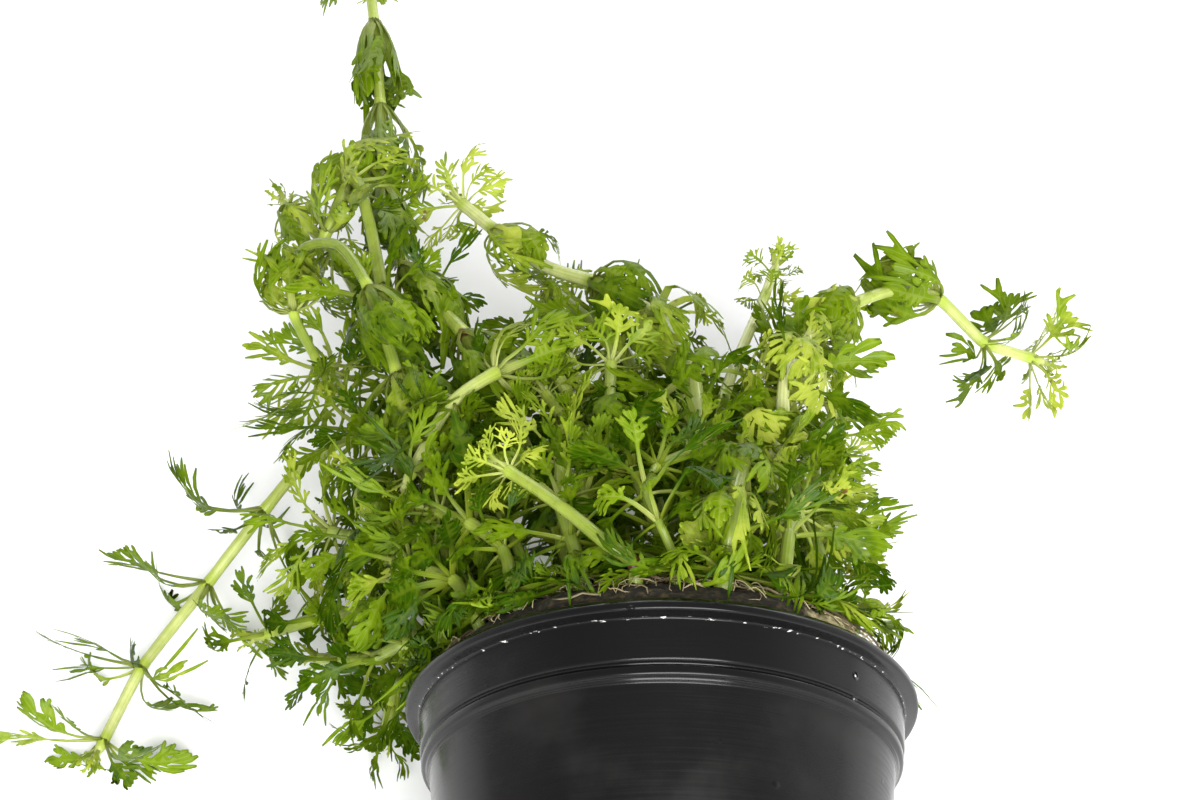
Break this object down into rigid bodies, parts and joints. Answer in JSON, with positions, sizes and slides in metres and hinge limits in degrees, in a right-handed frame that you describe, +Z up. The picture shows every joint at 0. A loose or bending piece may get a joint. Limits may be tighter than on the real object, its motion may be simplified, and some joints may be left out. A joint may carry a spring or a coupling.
{
  "type": "potted aquarium plant",
  "caption": "Bunch of limnophila stems with whorled, comb-cut leaves, spilling out of a black nursery pot that lies on its side.",
  "frame": {"origin": "bottom centre of the object's box, on the surface that it lies on", "axes": "+Z up, +Y the way the pot's mouth points, +X to the right seen from the pot's base"},
  "size_m": [0.2162, 0.2958, 0.0979],
  "materials": {
    "pot_plastic": "satin black plastic, wiped and wet in places",
    "rock_wool": "damp mineral wool with soil and roots",
    "plant_tissue": "wet leaves and stems, translucent green"
  },
  "bodies": {
    "root": {"pot": "pot_plastic", "growing_medium": "rock_wool", "tall_stem": "plant_tissue", "cup_stem": "plant_tissue", "star_stem": "plant_tissue", "droop_stem": "plant_tissue", "left_column_stem": "plant_tissue", "long_left_stem": "plant_tissue", "red_star_stem": "plant_tissue", "green_star_stem": "plant_tissue", "arched_stem": "plant_tissue", "thick_stem": "plant_tissue", "stub_stem": "plant_tissue", "hanging_stem": "plant_tissue", "centre_star_stem": "plant_tissue", "thin_stem": "plant_tissue", "rim_stem": "plant_tissue", "bright_stem": "plant_tissue", "upper_stem": "plant_tissue", "second_upper_stem": "plant_tissue", "bud_stem": "plant_tissue", "long_right_stem": "plant_tissue", "right_side_stem": "plant_tissue", "lower_right_stem": "plant_tissue", "right_front_stem": "plant_tissue", "right_rim_stem": "plant_tissue", "right_low_stem": "plant_tissue", "left_front_stem": "plant_tissue", "left_rim_stem": "plant_tissue", "left_upper_stem": "plant_tissue", "left_middle_stem": "plant_tissue", "brown_left_stem": "plant_tissue", "bottom_left_stem": "plant_tissue", "middle_stem": "plant_tissue", "far_stem": "plant_tissue", "middle_right_stem": "plant_tissue", "low_stem": "plant_tissue", "low_left_stem": "plant_tissue", "low_right_stem": "plant_tissue", "left_low_stem": "plant_tissue", "floor_left_stem": "plant_tissue", "floor_right_stem": "plant_tissue"}
  },
  "joints": []
}
